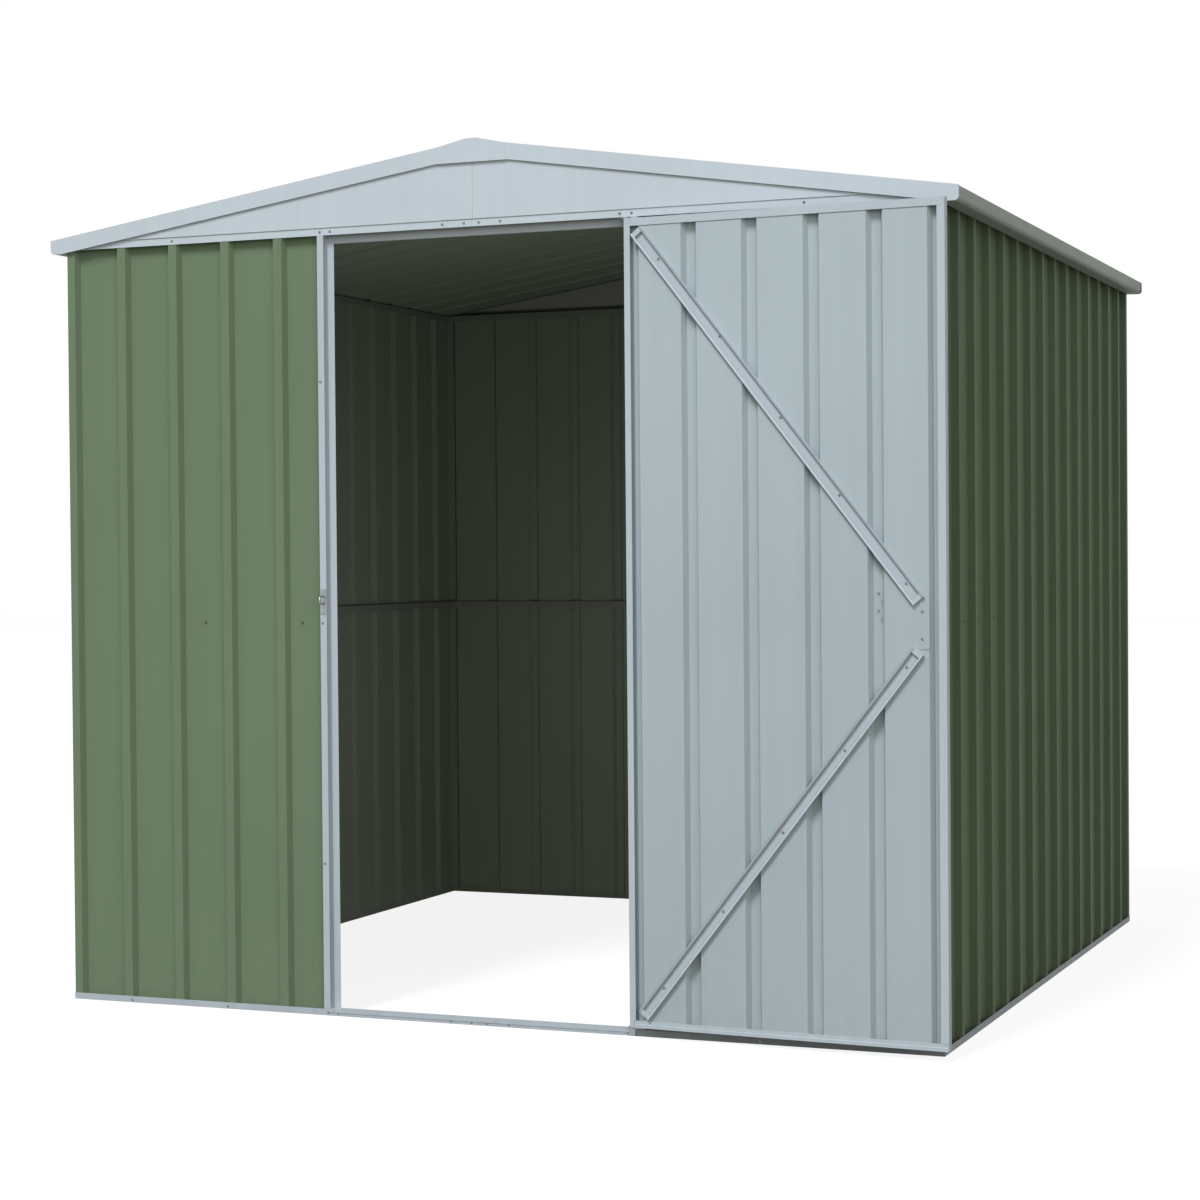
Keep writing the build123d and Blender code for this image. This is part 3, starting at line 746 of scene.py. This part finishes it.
class ShedRivetChannels(bpy.types.Operator):
    """Sets pop rivets along the front channels and the splices, and down the jambs"""
    bl_idname = "shed.rivet_channels"
    bl_label = "Rivet the channels"

    def execute(self, context):
        sizes = context.scene.shed_fasteners

        # Rows along the wall and lines up the jambs, in millimetres
        head_row, foot_row = 1902.5, 6.5
        head_rivets = (307, 721, 749, 1050, 1106, 1145, 1200, 1502.5, 1532, 1947)
        foot_rivets = (170, 445, 725, 751.8, 1055, 1108, 1149, 1205, 1506.9, 1535.6, 1830)
        jamb_lines, jamb_rivets = (719.5, 1540.5), (370, 955, 1540)
        spots = [on_front(x, head_row) for x in head_rivets]
        spots += [on_front(x, foot_row) for x in foot_rivets]
        spots += [on_front(x, z) for x in jamb_lines for z in jamb_rivets]
        set_fasteners("channel_rivets", "shed", spots, DOME, sizes.rivet_head, sizes.rivet_rise,
                      material_called("Dull aluminium"))
        return {"FINISHED"}


class ShedScrewRails(bpy.types.Operator):
    """Sets the screws that hold the wall sheets to the mid rails"""
    bl_idname = "shed.screw_rails"
    bl_label = "Screw the rails"

    def execute(self, context):
        sizes = context.scene.shed_fasteners

        # The screws' height, how far in from the channels the sheets' pans lie, and the places
        # along each wall, in millimetres
        rail_height, pan, pitch = 957, 16.5, 148
        front_screws = (151, 383, 655, 1605, 1877, 2109)
        side_screws = range(100, 2200, pitch)
        back_screws = range(94, 2240, pitch)
        spots = [on_front(x, rail_height, pan) for x in front_screws]
        z = rail_height / 1000
        for along in side_screws:
            y = FRONT + along / 1000
            spots.append(((RIGHT - pan / 1000, y, z), TOWARDS_RIGHT))
            spots.append(((LEFT + pan / 1000, y, z), TOWARDS_LEFT))
        for along in back_screws:
            spots.append(((LEFT + along / 1000, BACK - pan / 1000, z), TOWARDS_BACK))
        set_fasteners("rail_screws", "shed", spots, HEXAGON, sizes.screw_head, sizes.screw_rise,
                      material_called("Green baked polyester"))
        return {"FINISHED"}


class ShedScrewDoor(bpy.types.Operator):
    """Sets the round heads on the door's back that hold its braces, lock plate and lock"""
    bl_idname = "shed.screw_door"
    bl_label = "Screw the door"

    def execute(self, context):
        sizes = context.scene.shed_fasteners

        # Depths, then distances from the hinge edge and heights, in millimetres
        brace_floor, plate_face, pan_back = 18.0, 18.4, 17.1
        brace_heads = (
            (86, 1789), (236, 1607), (382, 1419), (520, 1243), (674, 1047),
            (674, 863), (529, 677), (381, 489), (235, 304), (86.5, 120))
        plate_line, plate_heads = 710.5, (985, 925)
        lock_line, lock_heads = 610.5, (1025, 987)
        spots = [on_door(s, z, brace_floor) for s, z in brace_heads]
        spots += [on_door(plate_line, z, plate_face) for z in plate_heads]
        spots += [on_door(lock_line, z, pan_back) for z in lock_heads]
        set_fasteners("door_screws", "door", spots, DOME, sizes.rivet_head, sizes.rivet_rise,
                      material_called("Dull aluminium"))
        return {"FINISHED"}


# The floor: how far it reaches in metres, its colour where it is seen, the strength of its glow
# and that glow's share there, and its colour for the light that it throws back up
FLOOR_REACH = 40.0
FLOOR_SEEN = "#F3F3F3"
FLOOR_GLOW, GLOW_SHARE = 1.1, 0.8
FLOOR_BOUNCE = "#7C796C"

# The surroundings: a slightly warm light, and white where they are seen
SKY_LIGHT = (1.0, 0.985, 0.97)
WHITE = "#FFFFFF"

# The key light: width, height and distance in metres, and a slightly cool colour
KEY_WIDTH, KEY_HEIGHT = 5.0, 12.0
KEY_AWAY = 36.0
KEY_COLOUR = (0.96, 1.0, 1.07)

# The front fill: size and distance in metres, turn to the left and lift in degrees, and the CAD
# nodes and the pieces made here that it lights
FILL_SIZE = 8.0
FILL_AWAY = 14.0
FILL_TURN, FILL_LIFT = -40, 15
FILL_NODES = ("front_panel", "top_channel_front", "gable_front", "barge_front", "ridge_cap",
              "door_", "lock_keeper", "hinge_brackets")
FILL_PIECES = ("door_ribbed_sheet", "door_lipped_braces", "door_screws", "channel_rivets")

# The lantern inside: radius and place in metres, a colour that takes out the green that the
# sheets throw back, and the CAD nodes that it lights
LANTERN_RADIUS = 0.3
LANTERN_PLACE = ((LEFT + RIGHT) / 2 + 0.2, FRONT + 0.36, 0.36 * WALL_TOP)
LANTERN_COLOUR = (1.0, 0.81, 1.08)
LANTERN_NODES = ("left_wall", "right_wall", "back_wall", "front_panel", "roof_sheets",
                 "mid_rail", "gable", "ridge_cap",
                 "base_channel_left", "base_channel_right", "base_channel_back",
                 "top_channel_left", "top_channel_right", "top_channel_back")

# The camera: its sensor's width in millimetres, and how far it sees in metres
SENSOR_WIDTH = 36.0
SIGHT_END = 100.0


def seen_itself(tree):
    """One for rays that show a thing, straight, mirrored or through another, nought for light."""
    path = add(tree, "ShaderNodeLightPath").outputs
    seen = add(tree, "ShaderNodeMath", {
        0: path["Is Camera Ray"], 1: path["Is Glossy Ray"]}, operation="MAXIMUM")
    seen = add(tree, "ShaderNodeMath", {
        0: seen.outputs[0], 1: path["Is Transmission Ray"]}, operation="MAXIMUM")
    return seen.outputs[0]


def studio_floor(name):
    """Matt pale floor: near white to the eye, yet it throws little light up into the shed."""
    material, tree = new_material(name)
    seen = seen_itself(tree)
    pale = add(tree, "ShaderNodeBsdfDiffuse", {"Color": rgba(linear(FLOOR_SEEN))})
    glow = add(tree, "ShaderNodeEmission", {
        "Color": rgba(linear(WHITE)), "Strength": FLOOR_GLOW})
    bright = add(tree, "ShaderNodeMixShader", {
        0: GLOW_SHARE, 1: pale.outputs[0], 2: glow.outputs[0]})
    dim = add(tree, "ShaderNodeBsdfDiffuse", {"Color": rgba(linear(FLOOR_BOUNCE))})
    mixed = add(tree, "ShaderNodeMixShader", {
        0: seen, 1: dim.outputs[0], 2: bright.outputs[0]})
    add(tree, "ShaderNodeOutputMaterial", {"Surface": mixed.outputs[0]})
    return material


def lay_floor(scene):
    """A plain floor that reaches past all that the camera sees."""
    far = FLOOR_REACH
    plate = bpy.data.meshes.new("floor")
    plate.from_pydata([(-far, -far, 0), (far, -far, 0), (far, far, 0), (-far, far, 0)], [],
                      [(0, 1, 2, 3)])
    floor = bpy.data.objects.new("floor", plate)
    scene.collection.objects.link(floor)
    plate.materials.append(studio_floor("Pale studio floor"))


def set_surroundings(scene, level):
    """Soft light from all round, seen as plain white."""
    world = bpy.data.worlds.new("Pale surroundings")
    world.use_nodes = True
    tree = world.node_tree
    tree.nodes.clear()
    seen = seen_itself(tree)
    soft = add(tree, "ShaderNodeBackground", {"Color": rgba(SKY_LIGHT), "Strength": level})
    white = add(tree, "ShaderNodeBackground", {"Color": rgba(linear(WHITE)), "Strength": 1.0})
    mixed = add(tree, "ShaderNodeMixShader", {
        0: seen, 1: soft.outputs[0], 2: white.outputs[0]})
    add(tree, "ShaderNodeOutputWorld", {"Surface": mixed.outputs[0]})
    scene.world = world


def light_only(light, pieces):
    """Flags a light off all but the given pieces."""
    lit = bpy.data.collections.new("lit by the " + light.name)
    for piece in pieces:
        lit.objects.link(piece)
    light.light_linking.receiver_collection = lit


def stand_light(lamp, turn, lift, distance):
    """Stands a lamp at a turn to the left and a lift, facing the shed."""
    light = bpy.data.objects.new(lamp.name, lamp)
    bpy.context.scene.collection.objects.link(light)
    away = Vector((
        -math.sin(turn) * math.cos(lift), -math.cos(turn) * math.cos(lift), math.sin(lift)))
    light.rotation_mode = "QUATERNION"
    light.rotation_quaternion = away.to_track_quat("Z", "Y")
    light.location = Vector((0, 0, WALL_TOP / 2)) + distance * away
    return light


def set_key_light(stage):
    """A tall softbox, so far off that its light hardly falls off over the shed."""
    lamp = bpy.data.lights.new("key light", "AREA")
    lamp.shape = "RECTANGLE"
    lamp.size = KEY_WIDTH
    lamp.size_y = KEY_HEIGHT
    lamp.energy = stage.key_power
    lamp.color = KEY_COLOUR
    stand_light(lamp, stage.key_turn, stage.key_lift, KEY_AWAY)


def set_front_fill(stage):
    """A square softbox, low on the right, flagged off all but the front and the door."""
    lamp = bpy.data.lights.new("front fill", "AREA")
    lamp.shape = "SQUARE"
    lamp.size = FILL_SIZE
    lamp.energy = stage.front_fill_power
    fill = stand_light(lamp, math.radians(FILL_TURN), math.radians(FILL_LIFT), FILL_AWAY)
    front = [NODES[name] for name in named(*FILL_NODES)]
    light_only(fill, front + [bpy.data.objects[name] for name in FILL_PIECES])


def set_inside_fill(stage):
    """A lantern just inside the doorway, unseen, and flagged off the doorway and the door."""
    lamp = bpy.data.lights.new("inside fill", "POINT")
    lamp.shadow_soft_size = LANTERN_RADIUS
    lamp.energy = stage.fill_power
    lamp.color = LANTERN_COLOUR
    fill = bpy.data.objects.new("inside fill", lamp)
    bpy.context.scene.collection.objects.link(fill)
    fill.location = LANTERN_PLACE
    fill.visible_camera = False
    fill.visible_glossy = False
    fill.visible_transmission = False
    light_only(fill, [NODES[name] for name in named(*LANTERN_NODES)])


def set_camera(scene, stage):
    """Stands the camera at its place, panned, then tilted, then rolled."""
    pan, tilt, roll = stage.pan, stage.tilt, stage.roll
    ahead = Vector((-math.sin(pan), math.cos(pan), 0))
    side = Vector((math.cos(pan), math.sin(pan), 0))
    sight = ahead * math.cos(tilt) + Vector((0, 0, math.sin(tilt)))
    lift = Vector((0, 0, math.cos(tilt))) - ahead * math.sin(tilt)
    across = side * math.cos(roll) + lift * math.sin(roll)
    upward = lift * math.cos(roll) - side * math.sin(roll)
    lens = bpy.data.cameras.new("camera")
    lens.sensor_fit = "HORIZONTAL"
    lens.sensor_width = SENSOR_WIDTH
    lens.lens = stage.lens_mm
    lens.clip_end = SIGHT_END
    camera = bpy.data.objects.new("camera", lens)
    scene.collection.objects.link(camera)
    turn = Matrix((across, upward, -sight)).transposed().to_4x4()
    camera.matrix_world = Matrix.Translation(stage.eye) @ turn
    scene.camera = camera


class ShedStage(bpy.types.Operator):
    """Lays the floor and sets the lights, the pale surroundings and the camera"""
    bl_idname = "shed.stage"
    bl_label = "Set the stage"

    def execute(self, context):
        scene = context.scene
        stage = scene.shed_stage
        scene.view_settings.view_transform = "Standard"
        lay_floor(scene)
        set_surroundings(scene, stage.sky_level)
        set_key_light(stage)
        set_front_fill(stage)
        set_inside_fill(stage)
        set_camera(scene, stage)
        return {"FINISHED"}


SETTINGS = (ShedCoatSettings, ShedDoorSettings, ShedFastenerSettings, ShedStageSettings)
STEPS = (ShedCoatSheets, ShedCoatTrims, ShedCoatDoorway, ShedCoatDoor, ShedFoldDoorSheet,
         ShedFoldBraces, ShedPlateHardware, ShedRivetChannels, ShedScrewRails, ShedScrewDoor,
         ShedStage)


class ShedPanel(bpy.types.Panel):
    """Lists the shed's settings and steps"""
    bl_idname = "VIEW3D_PT_shed"
    bl_label = "Metal storage shed"
    bl_space_type = "VIEW_3D"
    bl_region_type = "UI"
    bl_category = "Shed"

    def draw(self, context):
        scene = context.scene
        groups = (scene.shed_coat, scene.shed_door, scene.shed_fasteners, scene.shed_stage)
        for settings in groups:
            box = self.layout.box()
            for name in settings.__annotations__:
                box.prop(settings, name)
        for step in STEPS:
            self.layout.operator(step.bl_idname)


def register():
    for each in SETTINGS + STEPS + (ShedPanel,):
        bpy.utils.register_class(each)
    bpy.types.Scene.shed_coat = bpy.props.PointerProperty(type=ShedCoatSettings)
    bpy.types.Scene.shed_door = bpy.props.PointerProperty(type=ShedDoorSettings)
    bpy.types.Scene.shed_fasteners = bpy.props.PointerProperty(type=ShedFastenerSettings)
    bpy.types.Scene.shed_stage = bpy.props.PointerProperty(type=ShedStageSettings)


def unregister():
    del bpy.types.Scene.shed_stage
    del bpy.types.Scene.shed_fasteners
    del bpy.types.Scene.shed_door
    del bpy.types.Scene.shed_coat
    for each in reversed(SETTINGS + STEPS + (ShedPanel,)):
        bpy.utils.unregister_class(each)


def main():
    register()
    for step in STEPS:
        group, name = step.bl_idname.split(".")
        getattr(getattr(bpy.ops, group), name)()


if __name__ == "__main__":
    main()
